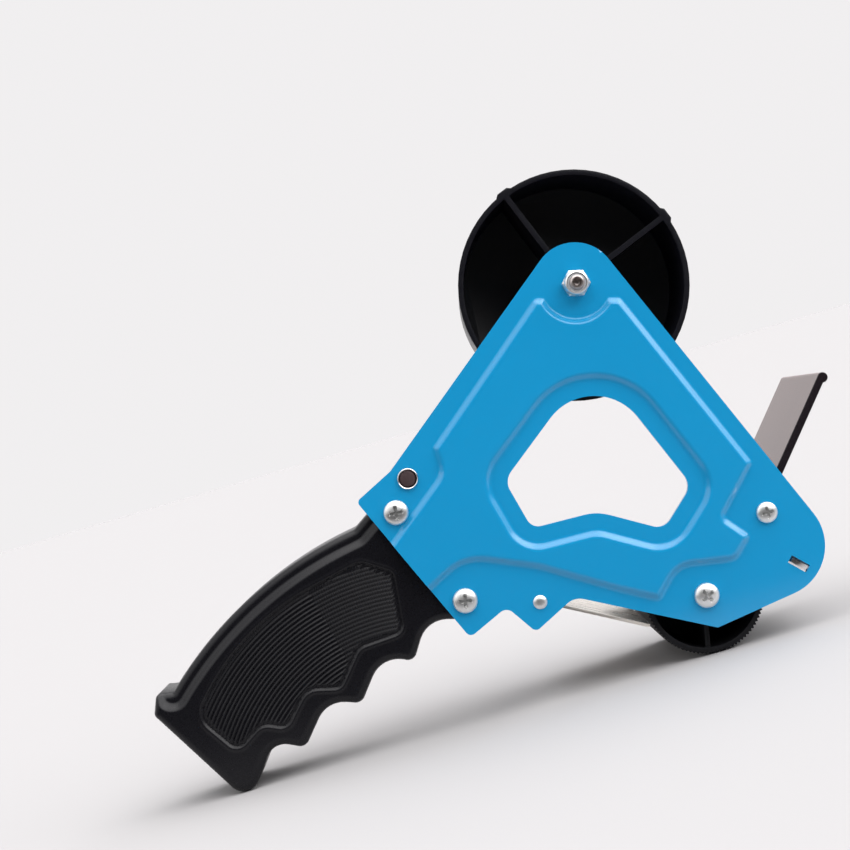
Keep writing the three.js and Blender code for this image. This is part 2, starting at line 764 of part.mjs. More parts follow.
// ---- finishes ----
const FINISHES = {
  blue_paint: { color: 0x1b90ce, roughness: 0.32, metalness: 0.1 },
  black_plastic: { color: 0x1a1a1d, roughness: 0.45, metalness: 0 },
  black_rubber: { color: 0x161618, roughness: 0.6, metalness: 0 },
  wiper_plastic: { color: 0x1c1a1b, roughness: 0.28, metalness: 0 },
  zinc: { color: 0xc9ccd0, roughness: 0.3, metalness: 0.9 },
  chrome: { color: 0xd9dbde, roughness: 0.12, metalness: 1 },
  spring_steel: { color: 0x8e9196, roughness: 0.35, metalness: 0.9 },
  bronze: { color: 0x4a3a2e, roughness: 0.45, metalness: 0.6 },
  fibre: { color: 0x8a4a2a, roughness: 0.8, metalness: 0 },
};

const PIECES = [
  ['side_plate', sidePlate, 'blue_paint'],
  ['hub_drum', hubDrum, 'black_plastic'],
  ['hub_bolt', hubBolt, 'zinc'],
  ['hub_nut', hubNut, 'zinc'],
  ['hub_spacer', () => washer([0, 0], 6, 2.8, SHEET + 0.1, 4.8), 'zinc'],
  ['hub_friction_washer', () => washer([0, 0], 7.5, 2.8, 32.1, 33.2), 'fibre'],
  ['hub_spring', hubSpring, 'spring_steel'],
  ['hub_end_washer', () => washer([0, 0], 7, 2.8, 46.3, 47.5), 'zinc'],
  ['tape_roller', tapeRoller, 'black_rubber'],
  ['roller_axle', rollerAxle, 'zinc'],
  ['roller_screw', () => panScrew([ROLLER.u, ROLLER.v], M4, 0, 10), 'zinc'],
  ['roller_spacer', () => washer([ROLLER.u, ROLLER.v], 6, 4.1, 1.8, 3.7), 'zinc'],
  ['roller_washer', () => washer([ROLLER.u, ROLLER.v], 6.5, 4.1, 54.3, 55.3), 'zinc'],
  ['roller_clip', () => openClip([ROLLER.u, ROLLER.v], 6, 3.2, 55.7, 56.5), 'spring_steel'],
  ['blade_bracket', bladeBracket, 'chrome'],
  ['bracket_screw', () => panScrew(BRACKET_SCREW, M3, 0, 6.5), 'zinc'],
  ['cutter_blade', cutterBlade, 'spring_steel'],
  ...RIVET_DEPTHS.map((y, k) => [`blade_rivet_${k + 1}`, () => bladeRivet(y), 'zinc']),
  ['wiper_root', wiperRoot, 'wiper_plastic'],
  ['wiper_blade', wiperBlade, 'wiper_plastic'],
  ['wiper_clamp', wiperClamp, 'chrome'],
  ...WIPER_SCREW_DEPTHS.map((y, k) => [`wiper_screw_${k + 1}`, () => wiperScrew(y), 'zinc']),
  ['tape_flap', tapeFlap, 'chrome'],
  ['flap_pin', flapPin, 'chrome'],
  ['flap_spring', flapSpring, 'spring_steel'],
  ['flap_clip', () => openClip(FLAP_PIVOT, 3.4, 1.6, 52.4, 53.1), 'spring_steel'],
  ['guide_post', guidePost, 'bronze'],
  ['guide_sleeve', guideSleeve, 'chrome'],
  ['handle_near', handleNear, 'black_plastic'],
  ['handle_far', handleFar, 'black_plastic'],
  ['handle_screw_upper', () => panScrew(UPPER_HANDLE_SCREW, M4, 0, 28.6), 'zinc'],
  ['handle_screw_lower', () => panScrew(LOWER_HANDLE_SCREW, M4, 0, 28.6), 'zinc'],
  ['handle_nut_upper', () => hexNut(UPPER_HANDLE_SCREW, 7, 2.1, 25.8, 28.8), 'zinc'],
  ['handle_nut_lower', () => hexNut(LOWER_HANDLE_SCREW, 7, 2.1, 25.8, 28.8), 'zinc'],
];

// Centre of the arc that rounds one corner of an outline that turns left there.
function cornerCentre(corners, i) {
  const [u, v, radius] = corners[i];
  const [pu, pv] = corners.at(i - 1);
  const [nu, nv] = corners[(i + 1) % corners.length];
  const before = new THREE.Vector2(u - pu, v - pv).normalize();
  const after = new THREE.Vector2(nu - u, nv - v).normalize();
  const turn = Math.atan2(before.cross(after), before.dot(after));
  const inward = new THREE.Vector2(-before.y - after.y, before.x + after.x).normalize();
  return new THREE.Vector2(u, v).addScaledVector(inward, radius / Math.cos(turn / 2));
}

// Turn that puts the roller's underside and the handle's heel on one level.
function standingTurn() {
  const heel = cornerCentre(HANDLE_CORNERS, HEEL_CORNER);
  const heelRadius = HANDLE_CORNERS[HEEL_CORNER][2];
  const du = ROLLER.u - heel.x;
  const dv = ROLLER.v - heel.y;
  return Math.atan2(dv, du) - Math.asin((ROLLER.radius - heelRadius) / Math.hypot(du, dv));
}

const gun = new THREE.Group();
gun.name = 'tape_gun';
for (const [name, build, finish] of PIECES) {
  const mesh = new THREE.Mesh(geometryOf(build()), new THREE.MeshStandardMaterial(FINISHES[finish]));
  mesh.name = name;
  gun.add(mesh);
}
gun.rotation.y = standingTurn();
gun.updateMatrixWorld(true);

const box = new THREE.Box3().setFromObject(gun, true);
const centre = box.getCenter(new THREE.Vector3());
gun.position.set(-centre.x, -centre.y, -box.min.z);

export default gun;
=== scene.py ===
"""Looks for the tape gun dispenser: finer meshes, materials, light, floor and camera."""

from math import asin, atan2, ceil, cos, degrees, pi, radians, sin, sqrt

import bmesh
import bpy
import numpy as np
from mathutils import Matrix, Vector
from mathutils.geometry import delaunay_2d_cdt


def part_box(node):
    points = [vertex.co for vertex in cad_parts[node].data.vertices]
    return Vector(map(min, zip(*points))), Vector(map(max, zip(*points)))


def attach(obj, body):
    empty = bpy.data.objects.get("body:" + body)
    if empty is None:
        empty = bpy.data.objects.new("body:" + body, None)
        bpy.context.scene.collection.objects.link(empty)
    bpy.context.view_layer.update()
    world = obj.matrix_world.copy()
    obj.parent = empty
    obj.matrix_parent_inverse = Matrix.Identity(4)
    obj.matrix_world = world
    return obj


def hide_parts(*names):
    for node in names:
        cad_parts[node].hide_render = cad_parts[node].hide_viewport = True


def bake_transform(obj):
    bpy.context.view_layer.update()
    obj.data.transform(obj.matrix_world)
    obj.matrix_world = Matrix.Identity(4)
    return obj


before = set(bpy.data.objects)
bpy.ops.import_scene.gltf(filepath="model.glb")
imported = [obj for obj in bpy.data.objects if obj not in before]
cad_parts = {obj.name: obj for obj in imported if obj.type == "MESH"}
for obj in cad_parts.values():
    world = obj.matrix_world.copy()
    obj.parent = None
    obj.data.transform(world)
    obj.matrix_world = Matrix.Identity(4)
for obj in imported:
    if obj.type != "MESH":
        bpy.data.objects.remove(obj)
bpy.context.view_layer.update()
MM = 0.001

# ---- side view: u and v in mm about the hub axis, y in mm in from the plate's outer face ----
ROLLER_U, ROLLER_V = 41.8, -99.2
SPACER_START = 1.6


def box_centre(node):
    low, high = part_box(node)
    return (low[0] + high[0]) / 2, (low[2] + high[2]) / 2


HUB_X, HUB_Z = box_centre("hub_spacer")
ROLLER_X, ROLLER_Z = box_centre("roller_spacer")
TURN = atan2(ROLLER_V, ROLLER_U) - atan2(ROLLER_Z - HUB_Z, ROLLER_X - HUB_X)
PLATE_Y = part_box("hub_spacer")[0][1] - SPACER_START * MM


def place(u, v, y):
    """Point of the part's frame, in metres, for a side-view point."""
    x = HUB_X + (u * cos(TURN) + v * sin(TURN)) * MM
    z = HUB_Z + (-u * sin(TURN) + v * cos(TURN)) * MM
    return Vector((x, PLATE_Y + y * MM, z))


# ---- outlines: corners as (u, v, radius), counter-clockwise ----
PLATE = [
    (-0.8, 22.05, 13.5), (-59.0, -59.8, 3), (-69.7, -69.5, 1.5), (-33.5, -112.7, 2),
    (-21.9, -103.0, 3), (-12.5, -110.9, 2), (-0.3, -99.8, 6), (45.4, -109.5, 1),
    (89.3, -89.8, 16.5),
]
HOLE = [
    (5.6, -24.4, 17.5), (-22.6, -62.7, 5.5), (-13.8, -77.9, 4), (6.9, -72.6, 16),
    (28.3, -78.2, 5), (37.0, -64.1, 5.5),
]
FIELD = [
    (-13.3, -4.5, 2.5), (-45.8, -52.2, 1.5), (-43.4, -60.5, 5), (-60.7, -84.5, 0),
    (-48.1, -100.1, 0), (-35.1, -88.0, 14), (-12.0, -91.0, 12), (12.6, -97.9, 8),
    (27.0, -101.2, 2), (33.0, -90.5, 8), (51.5, -88.4, 5), (56.2, -80.0, 1.5),
    (47.6, -74.2, 1.5), (56.8, -57.0, 1.5), (14.4, -4.2, 2.5),
]
HANDLE = [
    (-61.5, -67.6, 2), (-70.8, -78.7, 2), (-109.5, -97.7, 128), (-129.0, -131.0, 0.8),
    (-134.3, -131.6, 1.6), (-134.9, -138.4, 2), (-104.2, -166.6, 5.2), (-96.6, -146.8, 6),
    (-86.2, -148.6, 3.2), (-79.4, -133.6, 9), (-68.2, -134.4, 3.2), (-61.8, -119.0, 9),
    (-51.4, -121.0, 3), (-47.4, -107.6, 9), (-31.0, -107.2, 3), (-25.0, -98.6, 3),
    (-50.2, -67.4, 3),
]
GRIP = [
    (-121.5, -138.6, 7), (-107.8, -150.0, 4), (-100.0, -141.2, 5), (-91.8, -142.4, 4),
    (-85.6, -130.0, 6), (-74.6, -129.6, 3.5), (-68.8, -116.6, 5), (-54.2, -111.4, 4),
    (-57.6, -91.8, 4), (-69.0, -88.4, 5), (-106.8, -108.8, 80),
]
SHEET = 1.5                  # thickness of the plate
FIELD_HEIGHT = 1.5           # how far its middle is pressed outwards
FIELD_SLOPE = 2.4            # width of the pressed edge, seen from the side
APEX_SEAT = 10.8             # radius of the flat seat round the hub's nut
RING = 5.2                   # width of the flat border round the hole
GUIDE_POST = (-53.4, -62.1)
FLAP_PIVOT = (-11.2, -101.4)
UPPER_HANDLE_SCREW = (-57.1, -72.9)
LOWER_HANDLE_SCREW = (-35.1, -100.9)
BRACKET_SCREW = (60.9, -72.8)
SLOT = (71.2, -89.2)
SLOT_SLOPE = radians(-29)
SLOT_LENGTH = 6.6
SLOT_WIDTH = 2.6
GUIDE_HOLE_RADIUS = 3.25
FLAP_HOLE_RADIUS = 2.1
BOLT_HOLE_RADIUS = 2.6


def rounded(corners, offset=0.0, arc_step=6.0):
    """Counter-clockwise polygon of (u, v, radius) corners, as an array of points."""
    points = []
    count = len(corners)
    for i, (u, v, radius) in enumerate(corners):
        before = Vector((u, v)) - Vector(corners[i - 1][:2])
        after = Vector(corners[(i + 1) % count][:2]) - Vector((u, v))
        before.normalize()
        after.normalize()
        turn = atan2(before.x * after.y - before.y * after.x, before.dot(after))
        side = 1 if turn >= 0 else -1
        inward = Vector((-before.y - after.y, before.x + after.x)).normalized()
        corner = Vector((u, v)) - inward * offset / cos(turn / 2)
        if radius < 0.05:
            points.append(corner)
            continue
        curve = max(radius + side * offset, 0.05)
        centre = corner + inward * side * curve / cos(turn / 2)
        start = atan2(-before.x * side, before.y * side)
        steps = max(2, ceil(abs(degrees(turn)) / arc_step), ceil(abs(turn) * curve / 2))
        for k in range(steps + 1):
            angle = start + turn * k / steps
            points.append(centre + curve * Vector((cos(angle), sin(angle))))
    return np.array([tuple(p) for p in points])


def ring_points(centre, radius, count=40):
    """Circle in the side view."""
    angles = np.arange(count) * 2 * pi / count
    return np.c_[centre[0] + radius * np.cos(angles), centre[1] + radius * np.sin(angles)]


def slot_points():
    along = np.array([cos(SLOT_SLOPE), sin(SLOT_SLOPE)])
    across = np.array([-along[1], along[0]])
    ends = [(-0.5, -0.5), (0.5, -0.5), (0.5, 0.5), (-0.5, 0.5)]
    return np.array([
        np.array(SLOT) + a * SLOT_LENGTH * along + b * SLOT_WIDTH * across for a, b in ends
    ])


def resampled(loop, step):
    """The loop with no edge longer than step."""
    points = []
    for a, b in zip(loop, np.roll(loop, -1, axis=0)):
        pieces = max(1, ceil(np.linalg.norm(b - a) / step))
        points += [a + (b - a) * k / pieces for k in range(pieces)]
    return np.array(points)


def inside(points, loop):
    """Even-odd test of many points against one loop."""
    x, y = points[:, 0], points[:, 1]
    odd = np.zeros(len(points), bool)
    for (ax, ay), (bx, by) in zip(loop, np.roll(loop, -1, axis=0)):
        if ay == by:
            continue
        crosses = (ay > y) != (by > y)
        odd ^= crosses & (x < (bx - ax) * (y - ay) / (by - ay) + ax)
    return odd


def distance_to(points, loop, closed=True):
    """Distance from each of many points to a loop or an open line."""
    best = np.full(len(points), 1e9)
    ends = np.roll(loop, -1, axis=0) if closed else loop[1:]
    for a, b in zip(loop, ends):
        edge = b - a
        share = np.clip(((points - a) @ edge) / max(edge @ edge, 1e-12), 0, 1)
        best = np.minimum(best, np.linalg.norm(points - a - share[:, None] * edge, axis=1))
    return best


def depth_inside(points, loop):
    """Distance to the loop, positive inside it."""
    return np.where(inside(points, loop), 1, -1) * distance_to(points, loop)


def smooth(x):
    """Soft step from 0 to 1."""
    x = np.clip(x, 0, 1)
    return x * x * (3 - 2 * x)


# ---- meshes ----
def new_object(name, vertices, faces):
    mesh = bpy.data.meshes.new(name)
    mesh.from_pydata([tuple(v) for v in vertices], [], faces)
    mesh.validate()
    obj = bpy.data.objects.new(name, mesh)
    bpy.context.scene.collection.objects.link(obj)
    return obj


def soften(obj, width, segments=2, limit=35, weld=False):
    """Rounds sharp edges by width mm and shades the rest smooth."""
    if weld:
        obj.modifiers.new("weld", "WELD").merge_threshold = 1e-6
    if width:
        bevel = obj.modifiers.new("edges", "BEVEL")
        bevel.width = width * MM
        bevel.segments = segments
        bevel.limit_method = "ANGLE"
        bevel.angle_limit = radians(limit)
        bevel.harden_normals = False
        bevel.use_clamp_overlap = True
    obj.data.shade_smooth()
    obj.data.set_sharp_from_angle(angle=radians(limit + 8))
    return obj


def arc_grid(loop, centre, radius, ring_step, step):
    """Points inside the loop on arcs about centre, ring_step apart and in line with the radius."""
    reach = np.linalg.norm(loop - centre, axis=1)
    rings = np.arange(ceil((reach.min() - radius) / ring_step), (reach.max() - radius) / ring_step)
    points = []
    for r in radius + rings * ring_step:
        angles = np.arange(0, 2 * pi, step / r)
        points.append(np.c_[centre[0] + r * np.cos(angles), centre[1] + r * np.sin(angles)])
    points = np.concatenate(points)
    return points[inside(points, loop)]


def triangulated(outer, holes, step, loops=(), arcs=None):
    """Points and triangles that fill outer less holes, on a grid of step mm, kept to the loops.

    arcs are points that take the grid's place inside the last loop.
    """
    rims = [resampled(loop, step) for loop in [outer, *holes, *loops]]
    low, high = outer.min(axis=0), outer.max(axis=0)
    across = np.arange(low[0], high[0], step)
    up = np.arange(low[1], high[1], step * sqrt(3) / 2)
    grid = np.array([
        (u + (row % 2) * step / 2, v) for row, v in enumerate(up) for u in across
    ])
    keep = inside(grid, outer)
    for hole in holes:
        keep &= ~inside(grid, hole)
    grid = grid[keep]
    if arcs is not None:
        grid = np.concatenate([grid[~inside(grid, loops[-1])], arcs])
    for rim in rims:
        grid = grid[distance_to(grid, rim) > step * 0.45]
    points, edges = [], []
    for rim in rims:
        first = len(points)
        points += [Vector(p) for p in rim]
        edges += [(first + k, first + (k + 1) % len(rim)) for k in range(len(rim))]
    points += [Vector(p) for p in grid]
    flat, _, triangles, *_ = delaunay_2d_cdt(points, edges, [], 0, 1e-7)
    flat = np.array([tuple(p) for p in flat])
    triangles = np.array(triangles)
    middle = flat[triangles].mean(axis=1)
    keep = inside(middle, outer)
    for hole in holes:
        keep &= ~inside(middle, hole)
    triangles = triangles[keep]
    a, b, c = (flat[triangles[:, k]] for k in range(3))
    turned = (b - a)[:, 0] * (c - a)[:, 1] - (b - a)[:, 1] * (c - a)[:, 0] < 0
    triangles[turned] = triangles[turned][:, ::-1]
    return flat, triangles


def slab(name, flat, triangles, near, far):
    """Closed body between two depth arrays over one triangulation."""
    count = len(flat)
    vertices = [place(u, v, y) for (u, v), y in zip(flat, near)]
    vertices += [place(u, v, y) for (u, v), y in zip(flat, far)]
    faces = [tuple(t) for t in triangles.tolist()]
    faces += [(c + count, b + count, a + count) for a, b, c in triangles.tolist()]
    sides = {}
    for a, b, c in triangles.tolist():
        for edge in ((a, b), (b, c), (c, a)):
            if edge[::-1] in sides:
                del sides[edge[::-1]]
            else:
                sides[edge] = True
    faces += [(b, a, a + count, b + count) for a, b in sides]
    used = sorted({k for face in faces for k in face})
    index = {old: new for new, old in enumerate(used)}
    return new_object(name, [vertices[k] for k in used], [tuple(index[k] for k in f) for f in faces])


def revolved(name, centre, profile, segments=72, reach=None):
    """Body turned about the Y axis through centre, from an (r, y) profile from axis to axis.

    reach(angle) caps the radius, for hexagons.
    """
    vertices, faces = [], []
    rows = []
    for r, y in profile:
        if r < 1e-6:
            rows.append([len(vertices)])
            vertices.append(place(centre[0], centre[1], y))
            continue
        row = []
        for k in range(segments):
            angle = 2 * pi * k / segments
            radius = min(r, reach(angle)) if reach else r
            row.append(len(vertices))
            vertices.append(place(centre[0] + radius * cos(angle), centre[1] + radius * sin(angle), y))
        rows.append(row)
    for a, b in zip(rows, rows[1:]):
        for k in range(segments):
            corners = [a[k % len(a)], b[k % len(b)], b[(k + 1) % len(b)], a[(k + 1) % len(a)]]
            face = list(dict.fromkeys(corners))
            if len(face) > 2:
                faces.append(tuple(face))
    obj = new_object(name, vertices, faces)
    outward(obj)
    return obj


def hexagon_reach(flat, start=0.0):
    """Radius limit of a hexagon with its flats at flat mm from the axis."""
    return lambda angle: flat / cos((angle - start) % (pi / 3) - pi / 6)


def outward(obj):
    """Turns every face of a closed body outwards."""
    work = bmesh.new()
    work.from_mesh(obj.data)
    bmesh.ops.recalc_face_normals(work, faces=work.faces)
    work.to_mesh(obj.data)
    work.free()


def tube(name, path, radius, sides=10):
    """Round wire along side-view points (u, v, y) in mm, with closed ends."""
    points = [place(*p) for p in path]
    vertices, faces = [], []
    for k, point in enumerate(points):
        ahead = points[min(k + 1, len(points) - 1)] - points[max(k - 1, 0)]
        ahead.normalize()
        side = ahead.cross(Vector((0, 1, 0.001))).normalized()
        up = side.cross(ahead)
        for j in range(sides):
            angle = 2 * pi * j / sides
            vertices.append(point + radius * MM * (side * cos(angle) + up * sin(angle)))
    for k in range(len(points) - 1):
        for j in range(sides):
            a, b = k * sides + j, k * sides + (j + 1) % sides
            faces.append((a, b, b + sides, a + sides))
    faces.append(tuple(range(sides)))
    faces.append(tuple(range(len(vertices) - sides, len(vertices))))
    obj = new_object(name, vertices, faces)
    outward(obj)
    return soften(obj, 0, limit=40)


# ---- materials ----
DUST = (1.0, 0.62, 0.58, 1)  # tint of the dusty sheen on rubbery plastic


def node_material(name):
    """A new material, its nodes, its links and its shader."""
    material = bpy.data.materials.new(name)
    material.use_nodes = True
    nodes = material.node_tree.nodes
    return material, nodes, material.node_tree.links, nodes["Principled BSDF"]


def noise(nodes, links, coordinates, scale, detail=3.0, roughness=0.5, stretch=None):
    """Noise from 0 to 1, stretched into streaks where stretch is given."""
    texture = nodes.new("ShaderNodeTexNoise")
    texture.inputs["Scale"].default_value = scale
    texture.inputs["Detail"].default_value = detail
    texture.inputs["Roughness"].default_value = roughness
    source = coordinates
    if stretch:
        mapping = nodes.new("ShaderNodeMapping")
        mapping.inputs["Scale"].default_value = stretch
        links.new(coordinates, mapping.inputs["Vector"])
        source = mapping.outputs["Vector"]
    links.new(source, texture.inputs["Vector"])
    return texture.outputs["Fac"]


def ranged(nodes, links, value, low, high, start=0.3, end=0.7):
    """Carries values from start..end over to low..high."""
    change = nodes.new("ShaderNodeMapRange")
    change.inputs["From Min"].default_value = start
    change.inputs["From Max"].default_value = end
    change.inputs["To Min"].default_value = low
    change.inputs["To Max"].default_value = high
    links.new(value, change.inputs["Value"])
    return change.outputs["Result"]


def blended(nodes, links, factor, first, second):
    """Mix of two colours."""
    mix = nodes.new("ShaderNodeMix")
    mix.data_type = "RGBA"
    mix.inputs["A"].default_value = (*first, 1)
    mix.inputs["B"].default_value = (*second, 1)
    links.new(factor, mix.inputs["Factor"])
    return mix.outputs["Result"]


def bumped(nodes, links, shader, heights):
    """Stacks (height output, strength, distance in metres) bumps onto the shader's normal."""
    last = None
    for height, strength, distance in heights:
        bump = nodes.new("ShaderNodeBump")
        bump.inputs["Strength"].default_value = strength
        bump.inputs["Distance"].default_value = distance
        links.new(height, bump.inputs["Height"])
        if last:
            links.new(last, bump.inputs["Normal"])
        last = bump.outputs["Normal"]
    links.new(last, shader.inputs["Normal"])


def surface(name, first, second, rough, metallic=0.0, coat=0.0, grain=900, bump=0.00002,
            stretch=None, scratches=0.0, ior=1.5, patches=60, gloss=0.5, sheen=0.0):
    """Procedural finish: two tones in soft patches, uneven gloss, fine grain and light scratches."""
    material, nodes, links, shader = node_material(name)
    coordinates = nodes.new("ShaderNodeTexCoord").outputs["Object"]
    broad = noise(nodes, links, coordinates, patches, 4, 0.6)
    fine = noise(nodes, links, coordinates, grain, 4, 0.6, stretch)
    links.new(blended(nodes, links, broad, first, second), shader.inputs["Base Color"])
    links.new(ranged(nodes, links, fine, rough[0], rough[1]), shader.inputs["Roughness"])
    shader.inputs["Metallic"].default_value = metallic
    shader.inputs["Coat Weight"].default_value = coat
    shader.inputs["Coat Roughness"].default_value = 0.08
    shader.inputs["IOR"].default_value = ior
    shader.inputs["Specular IOR Level"].default_value = gloss
    if sheen:
        shader.inputs["Sheen Weight"].default_value = sheen
        shader.inputs["Sheen Roughness"].default_value = 0.35
        shader.inputs["Sheen Tint"].default_value = DUST
    heights = [(fine, 0.35, bump)]
    if scratches:
        lines = noise(nodes, links, coordinates, 500, 2, 0.4, (1, 1, 0.04))
        heights.append((ranged(nodes, links, lines, 0, 1, 0.62, 0.66), scratches, 0.00001))
    bumped(nodes, links, shader, heights)
    return material


PAINT = surface("blue_enamel", (0.0050, 0.288, 0.582), (0.0065, 0.306, 0.616), (0.13, 0.18), coat=0.5,
                grain=380, bump=0.000004, patches=25)
BLACK = surface("black_moulding", (0.0042, 0.0042, 0.0060), (0.0066, 0.0064, 0.0088), (0.24, 0.36),
                grain=1800, bump=0.00002, scratches=0.12, gloss=0.28)
HUB_BLACK = surface("hub_moulding", (0.0045, 0.0045, 0.0075), (0.0070, 0.0070, 0.0110), (0.28, 0.42),
                    grain=1500, bump=0.00002, gloss=0.4)
ROLLER_BLACK = surface("roller_moulding", (0.0030, 0.0031, 0.0042), (0.0060, 0.0060, 0.0078), (0.50, 0.70),
                       grain=1600, bump=0.00003, gloss=0.22)
WIPER_BLACK = surface("wiper_strip", (0.009, 0.0065, 0.009), (0.015, 0.011, 0.014), (0.12, 0.19),
                      grain=700, bump=0.000012, ior=1.66, scratches=0.1, sheen=0.25)
ZINC = surface("zinc_plate", (0.84, 0.85, 0.85), (0.92, 0.92, 0.91), (0.34, 0.44), metallic=1.0,
               grain=1400, bump=0.00001, patches=300)
CHROME = surface("bright_plate", (0.74, 0.72, 0.72), (0.84, 0.82, 0.82), (0.16, 0.26), metallic=1.0,
                 grain=1000, bump=0.000012, stretch=(1, 0.08, 1), patches=120)
STEEL = surface("hard_steel", (0.30, 0.31, 0.33), (0.42, 0.43, 0.45), (0.24, 0.38), metallic=1.0,
                grain=1500, bump=0.00002, stretch=(1, 0.1, 1), patches=200)
BRONZE = surface("dark_pin", (0.075, 0.045, 0.048), (0.14, 0.10, 0.105), (0.35, 0.5), metallic=0.5,
                 grain=1200, bump=0.00004, patches=500)
BOLT_STEEL = surface("bolt_end", (0.42, 0.36, 0.34), (0.62, 0.57, 0.55), (0.30, 0.45), metallic=1.0,
                     grain=1300, bump=0.00003, patches=400)
FLAP_PLATE = surface("flap_plate", (0.66, 0.60, 0.53), (0.84, 0.79, 0.73), (0.22, 0.40), metallic=0.6,
                     grain=700, bump=0.00002, stretch=(0.15, 1, 0.15), patches=90)
FIBRE = surface("washer_fibre", (0.18, 0.07, 0.03), (0.28, 0.12, 0.06), (0.7, 0.85),
                grain=2500, bump=0.00006, patches=400)
NYLON = surface("nut_collar", (0.45, 0.47, 0.50), (0.55, 0.57, 0.60), (0.4, 0.5),
                grain=900, bump=0.00001, patches=200)


def paint_with(obj, material):
    """Gives a whole new piece one finish."""
    obj.data.materials.clear()
    obj.data.materials.append(material)


def finish_node(name, material, width):
    """A CAD node that is kept, with rounded edges and its own finish."""
    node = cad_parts[name]
    for slot in node.material_slots:
        slot.material = material
    if not node.material_slots:
        node.data.materials.append(material)
    soften(node, width, weld=True)


def add_piece(obj, material, body, *nodes):
    """A new piece with its finish, the body that it rides on, and the CAD nodes that it replaces."""
    paint_with(obj, material)
    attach(obj, body)
    if nodes:
        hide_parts(*nodes)


# ---- side plate ----
def plate_height(points):
    """How far the sheet is pressed outwards, in mm."""
    field = depth_inside(points, rounded(FIELD))
    seat = np.hypot(points[:, 0], points[:, 1]) - APEX_SEAT
    ring = -depth_inside(points, rounded(HOLE, RING))
    return FIELD_HEIGHT * smooth(np.minimum(np.minimum(field, seat), ring) / FIELD_SLOPE)


def side_plate():
    """Stamped sheet with its pressed field, its hole and its fasteners' holes."""
    step = 0.6
    holes = [
        rounded(HOLE), slot_points(), ring_points(GUIDE_POST, GUIDE_HOLE_RADIUS),
        ring_points(FLAP_PIVOT, FLAP_HOLE_RADIUS), ring_points((0, 0), BOLT_HOLE_RADIUS),
    ]
    flat, triangles = triangulated(rounded(PLATE), holes, step)
    near = -plate_height(flat)
    plate = slab("side_plate_sheet", flat, triangles, near, near + SHEET)
    soften(plate, 0.28, 3, 50)
    add_piece(plate, PAINT, "frame", "side_plate")


# ---- handle ----
HANDLE_NEAR, HANDLE_SPLIT, HANDLE_FAR = 1.8, 15.4, 29.0
SPLIT_HALF_GAP = 0.03
EDGE_RADIUS = 2.6
RIM_DEPTH = 2.3              # how far the rounded rim along the back lies in
PANEL_WALL = 0.7             # width of the wall round the sunk grip panel
PANEL_DEPTH = 0.72
RIB_PITCH = 1.31
RIB_HEIGHT = 0.54
LIP_HEIGHT = 0.22            # raised lip round the panel
NUT_POCKET = 7 / sqrt(3) + 0.35
NUT_POCKET_WALL = 0.12
NUT_POCKET_DEPTH = 3.4


def back_line():
    """The handle's back, from its neck to its butt flange."""
    whole = rounded(HANDLE)
    neck, butt = np.array(HANDLE[0][:2]), np.array(HANDLE[3][:2])
    start = np.argmin(np.linalg.norm(whole - neck, axis=1))
    end = np.argmin(np.linalg.norm(whole - butt, axis=1))
    return whole[start:end + 1]


def handle_relief(points):
    """How far the handle's side surface lies in from its flat face, in mm."""
    edge = distance_to(points, rounded(HANDLE))
    round_off = EDGE_RADIUS - np.sqrt(np.maximum(
        EDGE_RADIUS ** 2 - np.maximum(EDGE_RADIUS - edge, 0) ** 2, 0))
    back = distance_to(points, back_line(), closed=False)
    rim = RIM_DEPTH * (1 - smooth((back - 3.0) / 3.2))
    grip = depth_inside(points, rounded(GRIP))
    centre, radius = grip_arc()
    from_arc = np.hypot(points[:, 0] - centre[0], points[:, 1] - centre[1]) - radius
    ribs = RIB_HEIGHT / 2 * (1 + np.cos(2 * pi * from_arc / RIB_PITCH)) * smooth((grip - 0.8) / 0.8)
    panel = smooth(grip / PANEL_WALL) * (PANEL_DEPTH - ribs)
    lip = LIP_HEIGHT * np.exp(-((grip + 0.45) / 0.45) ** 2)
    return round_off + rim + panel - lip


def grip_arc():
    """Centre and radius of the arc along the grip panel's top, which its ribs follow."""
    u, v, radius = GRIP[-1]
    before = (Vector((u, v)) - Vector(GRIP[-2][:2])).normalized()
    after = (Vector(GRIP[0][:2]) - Vector((u, v))).normalized()
    turn = atan2(before.x * after.y - before.y * after.x, before.dot(after))
    inward = Vector((-before.y - after.y, before.x + after.x)).normalized()
    return Vector((u, v)) + inward * radius / cos(turn / 2), radius


def hexagon(centre, corner):
    angles = pi / 6 + np.arange(6) * pi / 3
    return np.c_[centre[0] + corner * np.cos(angles), centre[1] + corner * np.sin(angles)]


